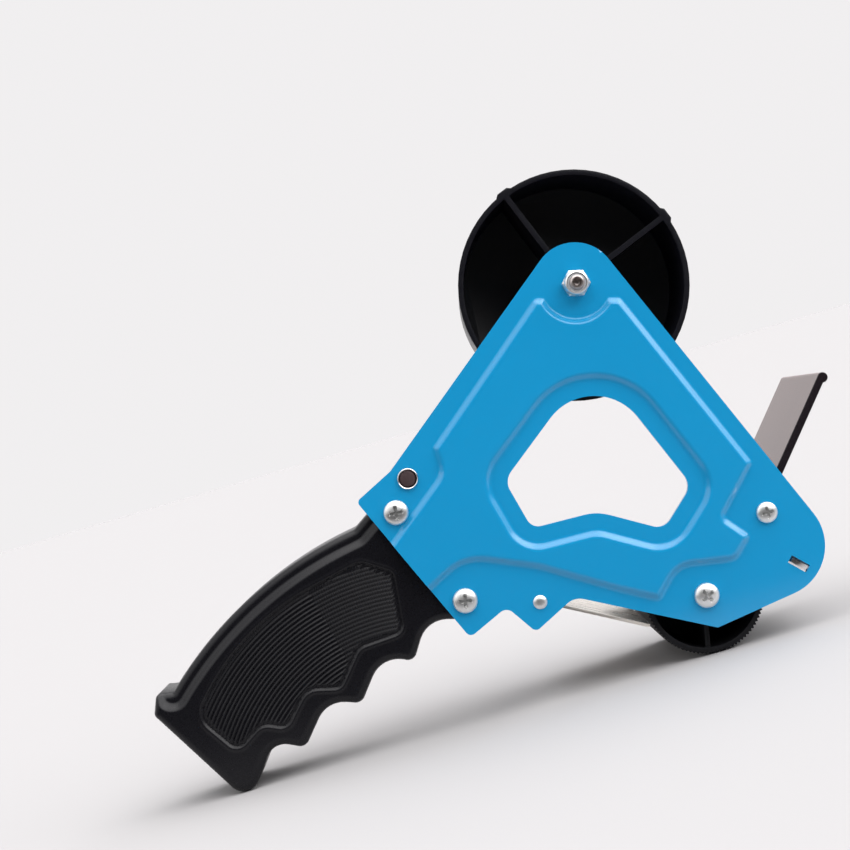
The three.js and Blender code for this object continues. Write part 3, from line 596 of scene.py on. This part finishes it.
def handle():
    """Two moulded halves, the far one with a pocket for each screw's nut."""
    step = 0.42
    screws = (UPPER_HANDLE_SCREW, LOWER_HANDLE_SCREW)
    outer = rounded(HANDLE, arc_step=4)
    grip = rounded(GRIP, -PANEL_WALL)
    ribbed = arc_grid(grip, *grip_arc(), RIB_PITCH / (4), 2 * step)
    flat, triangles = triangulated(outer, [], step, [grip], ribbed)
    near = HANDLE_NEAR + handle_relief(flat)
    split = np.full(len(flat), HANDLE_SPLIT - SPLIT_HALF_GAP)
    shell = slab("handle_shell_near", flat, triangles, near, split)
    soften(shell, 0, limit=50)
    add_piece(shell, BLACK, "frame", "handle_near")
    pockets = []
    for centre in screws:
        pockets += [hexagon(centre, NUT_POCKET), hexagon(centre, NUT_POCKET - NUT_POCKET_WALL)]
    flat, triangles = triangulated(outer, [], step, [*pockets, grip], ribbed)
    far = HANDLE_FAR - handle_relief(flat)
    for centre in screws:
        in_pocket = inside(flat, hexagon(centre, NUT_POCKET - NUT_POCKET_WALL / 2))
        far = np.where(in_pocket, HANDLE_FAR - NUT_POCKET_DEPTH, far)
    split = np.full(len(flat), HANDLE_SPLIT + SPLIT_HALF_GAP)
    shell = slab("handle_shell_far", flat, triangles, split, far)
    soften(shell, 0, limit=50)
    add_piece(shell, BLACK, "frame", "handle_far")


# ---- fasteners ----
HALF_FLATS = 4.0             # half of the width across flats of the hub's bolt head and nut


def pan_screw(name, node, centre, head, height, spin):
    """Domed pan head with a cross recess, on a plain shank down to the CAD screw's tip."""
    tip = (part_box(node)[1][1] - PLATE_Y) / MM
    shank = head / 2 if head > 3.6 else 1.5
    rings, segments = 26, 96
    arm, half, deep, slope = head * 0.54, head * 0.13, height * 0.7, head * 0.12

    def top(r, angle):
        share = r / head
        dome = height * (0.18 + 0.82 * sqrt(1 - 0.97 * share ** 2))
        x, y = r * cos(angle - spin), r * sin(angle - spin)
        cross = max(
            min((arm - abs(x)) / slope, (half - abs(y)) / (slope * 0.35)),
            min((arm - abs(y)) / slope, (half - abs(x)) / (slope * 0.35)),
        )
        return dome - deep * min(max(cross, 0), 1)

    seat = -0.02
    rows = [(head * ring / rings, None) for ring in range(1, rings + 1)]
    rows += [(head, seat), (shank, seat), (shank, tip - 0.8), (shank * 0.6, tip)]
    vertices = [place(*centre, -top(0, 0))]
    for r, y in rows:
        for k in range(segments):
            angle = 2 * pi * k / segments
            depth = -top(r, angle) if y is None else y
            vertices.append(place(centre[0] + r * cos(angle), centre[1] + r * sin(angle), depth))
    faces = [(0, 1 + (k + 1) % segments, 1 + k) for k in range(segments)]
    for ring in range(rings + 3):
        first, second = 1 + ring * segments, 1 + (ring + 1) * segments
        for k in range(segments):
            after = (k + 1) % segments
            faces.append((first + k, first + after, second + after, second + k))
    last = 1 + (rings + 3) * segments
    faces.append(tuple(last + k for k in range(segments)))
    screw = new_object(name, vertices, faces)
    outward(screw)
    soften(screw, 0, limit=32)
    add_piece(screw, ZINC, "frame", node)


# piece, CAD node, centre, head's radius, head's height, turn of the recess
PAN_SCREWS = [
    ("handle_pan_upper", "handle_screw_upper", UPPER_HANDLE_SCREW, 4.0, 2.5, 0.2),
    ("handle_pan_lower", "handle_screw_lower", LOWER_HANDLE_SCREW, 4.0, 2.5, 0.1),
    ("roller_pan", "roller_screw", (ROLLER_U, ROLLER_V), 4.0, 2.5, 0.75),
    ("bracket_pan", "bracket_screw", BRACKET_SCREW, 3.4, 2.0, 0.3),
]


def lock_nut():
    """Nylon-insert nut: chamfered hexagon, round collar and the insert's ring."""
    body = revolved("hub_lock_nut", (0, 0), [
        (2.6, 0), (4.15, 0), (4.7, -0.35), (4.7, -2.9), (4.15, -3.3), (3.96, -3.4), (3.94, -4.0),
        (3.82, -4.45), (3.58, -4.8), (3.26, -5.0), (2.98, -4.95), (2.9, -4.6), (2.6, -4.6), (2.6, 0),
    ], 120, hexagon_reach(HALF_FLATS, 0.05))
    soften(body, 0, limit=28)
    add_piece(body, ZINC, "frame", "hub_nut")
    insert = revolved("hub_nut_insert", (0, 0), [
        (2.45, -3.6), (2.88, -3.6), (2.88, -4.72), (2.75, -4.8), (2.45, -4.8), (2.45, -3.6),
    ], 64)
    soften(insert, 0, limit=40)
    add_piece(insert, NYLON, "frame")


def threads(radius, start, end, pitch=0.8):
    """Profile points of a V thread, drawn as rings."""
    points = []
    y = start
    while y < end:
        points += [(radius - 0.32, y), (radius, y + pitch / 2)]
        y += pitch
    return points


def hub_bolt():
    """Hexagon-headed bolt with a threaded end and a dimple in its tip."""
    low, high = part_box("hub_bolt")
    tip = (low[1] - PLATE_Y) / MM
    top = (high[1] - PLATE_Y) / MM
    head_start = top - 3.5
    radius = 2.35
    reach = hexagon_reach(HALF_FLATS)
    shank = [(0, tip + 2.2), (0.95, tip + 1.7), (1.2, tip + 0.35), (1.42, tip), (1.75, tip)]
    shank += [(2.05, tip + 0.25)] + threads(radius, tip + 0.5, 8.0)
    shank += [(radius, 8.6), (radius, head_start)]
    head = [(4.2, head_start), (4.62, head_start + 0.3), (4.62, top - 0.5), (4.1, top),
            (2.6, top), (2.4, top - 0.25), (0, top - 0.25)]
    bolt = revolved("hub_bolt_threaded", (0, 0), shank + head, 96, reach)
    soften(bolt, 0, limit=28)
    add_piece(bolt, BOLT_STEEL, "frame", "hub_bolt")


def guide_post():
    """Bright ring round the post's end."""
    ring = revolved("guide_post_ring", GUIDE_POST, [
        (2.85, 3.2), (2.85, -0.55), (2.95, -0.85), (3.15, -0.95), (3.35, -0.8), (3.42, -0.45),
        (3.42, -0.12), (3.1, -0.1), (3.1, 1.6), (3.6, 1.62), (3.6, 3.2), (2.85, 3.2),
    ], 72)
    soften(ring, 0, limit=40)
    add_piece(ring, CHROME, "frame", "guide_sleeve")


def flap_pin():
    """Pin with a low domed end, and a groove for its clip at the other."""
    end = (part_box("flap_pin")[1][1] - PLATE_Y) / MM
    pin = revolved("flap_pin_domed", FLAP_PIVOT, [
        (0, -1.0), (0.8, -0.97), (1.5, -0.8), (2.0, -0.5), (2.25, -0.2), (2.22, -0.1), (2.0, -0.1),
        (2.0, end - 1.8), (1.5, end - 1.8), (1.5, end - 0.7), (2.0, end - 0.7), (2.0, end - 0.25),
        (1.75, end), (0, end),
    ], 64)
    soften(pin, 0, limit=38)
    add_piece(pin, ZINC, "frame", "flap_pin")


# ---- springs ----
def coil_path(centre, radius, near, far, turns, start=0.0, per_turn=28):
    """Helix along Y, as side-view points."""
    steps = int(turns * per_turn)
    path = []
    for k in range(steps + 1):
        angle = start + 2 * pi * turns * k / steps
        path.append((centre[0] + radius * cos(angle), centre[1] + radius * sin(angle),
                     near + (far - near) * k / steps))
    return path


def springs():
    hub = tube("hub_coil", coil_path((0, 0), 5, 34.5, 45.4, 6), 0.6)
    add_piece(hub, STEEL, "frame", "hub_spring")
    flap = tube("flap_coil", coil_path(FLAP_PIVOT, 2.9, 20.4, 33.6, 7, -pi / 2), 0.4)
    add_piece(flap, STEEL, "frame", "flap_spring")


# ---- wiper ----
WIPER_ROOT = Vector((58.4, -72.8))
WIPER_ALONG = Vector((0.408, 0.913))
WIPER_OUT = Vector((0.913, -0.408))
WIPER_THICK = 2.5
WIPER_LENGTH = 47.9
WIPER_NEAR, WIPER_FAR = 2.6, 53.0
WIPER_BEAD = 1.7


def wiper_point(along, out):
    """Side-view point at a distance along the wiper and out from its inner face."""
    return WIPER_ROOT + WIPER_ALONG * along + WIPER_OUT * out


def wiper():
    """One flexible strip with a bead along its tip, drawn straight."""
    steps = 44
    straight = [k / steps for k in range(steps + 1)]
    section = [(-4.0, 0.25), (-3.75, 0.0)]
    section += [(-3.0 + (WIPER_LENGTH + 3.0) * share, 0.0) for share in straight]
    bead_out, bead_steps = WIPER_THICK - 0.9, 16
    first_angle = -asin(bead_out / WIPER_BEAD)
    last_angle = pi - asin((WIPER_THICK - bead_out) / WIPER_BEAD)
    for k in range(bead_steps + 1):
        angle = first_angle + (last_angle - first_angle) * k / bead_steps
        section.append((WIPER_LENGTH + WIPER_BEAD * cos(angle), bead_out + WIPER_BEAD * sin(angle)))
    after_bead = WIPER_LENGTH - 2.2
    section += [(after_bead - (WIPER_LENGTH + 1.0) * share, WIPER_THICK) for share in straight]
    section += [(-3.75, WIPER_THICK), (-4.0, WIPER_THICK - 0.25)]
    near, far = WIPER_NEAR, WIPER_FAR
    depths = [near, near + 0.25, near + 1, (near + far) / 2, far - 1, far - 0.25, far]
    vertices = []
    for y in depths:
        for along, out in section:
            point = wiper_point(along, out)
            vertices.append(place(point.x, point.y, y))
    count = len(section)
    faces = [tuple(range(count))[::-1], tuple(range(len(vertices) - count, len(vertices)))]
    for row in range(len(depths) - 1):
        for k in range(count):
            a, b = row * count + k, row * count + (k + 1) % count
            faces.append((a, b, b + count, a + count))
    strip = new_object("wiper_strip", vertices, faces)
    outward(strip)
    soften(strip, 0.18, 2, 55)
    paint_with(strip, WIPER_BLACK)
    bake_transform(strip)
    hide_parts("wiper_root", "wiper_blade")


# ---- CAD nodes that keep their shape: finish, and width of their rounded edges in mm ----
KEPT = {
    "hub_drum": (HUB_BLACK, 0.35), "hub_spacer": (ZINC, 0.2), "hub_friction_washer": (FIBRE, 0.1),
    "hub_end_washer": (ZINC, 0.2), "tape_roller": (ROLLER_BLACK, 0.12), "roller_axle": (ZINC, 0.2),
    "roller_spacer": (ZINC, 0.15), "roller_washer": (ZINC, 0.15), "roller_clip": (STEEL, 0.12),
    "blade_bracket": (CHROME, 0.22), "cutter_blade": (STEEL, 0.05), "blade_rivet_1": (ZINC, 0.25),
    "blade_rivet_2": (ZINC, 0.25), "wiper_clamp": (CHROME, 0.2), "wiper_screw_1": (ZINC, 0.3),
    "wiper_screw_2": (ZINC, 0.3), "tape_flap": (FLAP_PLATE, 0.15),
    "flap_clip": (STEEL, 0.1), "guide_post": (BRONZE, 0.15), "handle_nut_upper": (ZINC, 0.25),
    "handle_nut_lower": (ZINC, 0.25),
}


# ---- floor, light and camera ----
CAMERA_U, CAMERA_V = -47.9, -45.0
CAMERA_DISTANCE = 474.52     # mm in front of the plate
FOCAL_LENGTH = 63.106        # mm, on a sensor 36 mm wide
SENSOR = 36.0
OVERHEAD = 2.8               # strength of the room's light from above
FRONT_DARK = 0.05            # and from in front of the plate
PALE = (0.877, 0.863, 0.870)
# name, where it shines from, strength, angular size in degrees
KEY_LIGHTS = [
    ("key_left", (-0.75, -0.55, 0.75), 0.65, 55),
    ("key_right", (0.85, -0.5, 0.6), 0.55, 50),
]


def stage():
    """Matt pale floor that meets the background; glossy rays see it painted dark in front."""
    floor_material = surface("pale_floor", (0.414, 0.408, 0.411), (0.418, 0.412, 0.415), (0.9, 0.95),
                             grain=300, bump=0.000002, patches=8)
    nodes, links = floor_material.node_tree.nodes, floor_material.node_tree.links
    shader = nodes["Principled BSDF"]
    shader.inputs["Specular IOR Level"].default_value = 0.0
    # Painted dark reflection: glossy rays that hit the floor in front of the plate see this near-black
    # colour instead of the pale floor.
    painted_dark_reflection = nodes.new("ShaderNodeBsdfDiffuse")
    painted_dark_reflection.inputs["Color"].default_value = (0.02, 0.02, 0.02, 1)
    position = nodes.new("ShaderNodeTexCoord").outputs["Object"]
    split = nodes.new("ShaderNodeSeparateXYZ")
    links.new(position, split.inputs["Vector"])
    in_front = ranged(nodes, links, split.outputs["Y"], 1.0, 0.0, -0.14, -0.05)
    ray = nodes.new("ShaderNodeLightPath")
    painted_reflection_mask = nodes.new("ShaderNodeMath")
    painted_reflection_mask.operation = "MULTIPLY"
    links.new(in_front, painted_reflection_mask.inputs[0])
    links.new(ray.outputs["Is Glossy Ray"], painted_reflection_mask.inputs[1])
    mix = nodes.new("ShaderNodeMixShader")
    links.new(painted_reflection_mask.outputs["Value"], mix.inputs["Fac"])
    links.new(shader.outputs["BSDF"], mix.inputs[1])
    links.new(painted_dark_reflection.outputs["BSDF"], mix.inputs[2])
    links.new(mix.outputs["Shader"], nodes["Material Output"].inputs["Surface"])
    half_width, cells = 60.0, 24
    count = cells + 1
    vertices = [(half_width * (2 * i / cells - 1), half_width * (2 * j / cells - 1), 0.0)
                for j in range(count) for i in range(count)]
    faces = [(j * count + i, j * count + i + 1, (j + 1) * count + i + 1, (j + 1) * count + i)
             for j in range(cells) for i in range(cells)]
    floor = new_object("floor", vertices, faces)
    paint_with(floor, floor_material)


def studio_light():
    """Pale room, bright overhead and dark in front of the plate, with two soft suns."""
    world = bpy.data.worlds.new("studio")
    world.use_nodes = True
    nodes, links = world.node_tree.nodes, world.node_tree.links
    room = nodes["Background"]
    direction = nodes.new("ShaderNodeTexCoord").outputs["Generated"]
    split = nodes.new("ShaderNodeSeparateXYZ")
    links.new(direction, split.inputs["Vector"])
    above = nodes.new("ShaderNodeVectorMath")
    above.operation = "DOT_PRODUCT"
    above.inputs[1].default_value = Vector((0.45, -0.12, 0.88)).normalized()
    links.new(direction, above.inputs[0])
    overhead = ranged(nodes, links, above.outputs["Value"], 0.0, OVERHEAD, 0.55, 0.80)
    behind = ranged(nodes, links, split.outputs["Y"], FRONT_DARK, 0.87, -0.62, 0.05)
    total = nodes.new("ShaderNodeMath")
    total.operation = "ADD"
    links.new(overhead, total.inputs[0])
    links.new(behind, total.inputs[1])
    room.inputs["Color"].default_value = (1.0, 0.985, 0.99, 1)
    links.new(total.outputs["Value"], room.inputs["Strength"])
    backdrop = nodes.new("ShaderNodeBackground")
    backdrop.inputs["Color"].default_value = (*PALE, 1)
    seen = nodes.new("ShaderNodeLightPath")
    mix = nodes.new("ShaderNodeMixShader")
    links.new(seen.outputs["Is Camera Ray"], mix.inputs["Fac"])
    links.new(room.outputs["Background"], mix.inputs[1])
    links.new(backdrop.outputs["Background"], mix.inputs[2])
    links.new(mix.outputs["Shader"], nodes["World Output"].inputs["Surface"])
    bpy.context.scene.world = world
    for name, where, strength, spread in KEY_LIGHTS:
        light = bpy.data.lights.new(name, "SUN")
        light.energy = strength
        light.angle = radians(spread)
        lamp = bpy.data.objects.new(name, light)
        lamp.rotation_euler = (-Vector(where)).to_track_quat("-Z", "Y").to_euler()
        bpy.context.scene.collection.objects.link(lamp)


def camera():
    """Looks square at the plate, rolled by the angle that the gun stands at."""
    data = bpy.data.cameras.new("camera")
    data.sensor_width = SENSOR
    data.lens = FOCAL_LENGTH
    data.clip_start, data.clip_end = 0.01, 50
    eye = bpy.data.objects.new("camera", data)
    right = Vector((cos(TURN), 0, -sin(TURN)))
    up = Vector((sin(TURN), 0, cos(TURN)))
    back = Vector((0, -1, 0))
    rotation = Matrix((right, up, back)).transposed().to_4x4()
    eye.matrix_world = Matrix.Translation(place(CAMERA_U, CAMERA_V, -CAMERA_DISTANCE)) @ rotation
    bpy.context.scene.collection.objects.link(eye)
    bpy.context.scene.camera = eye


# ---- build ----
side_plate()
handle()
for piece, node, centre, head, height, spin in PAN_SCREWS:
    pan_screw(piece, node, centre, head, height, spin)
lock_nut()
hub_bolt()
guide_post()
flap_pin()
springs()
wiper()
for kept_name, (kept_material, kept_width) in KEPT.items():
    finish_node(kept_name, kept_material, kept_width)
stage()
studio_light()
camera()

bpy.context.scene.view_settings.view_transform = "Standard"
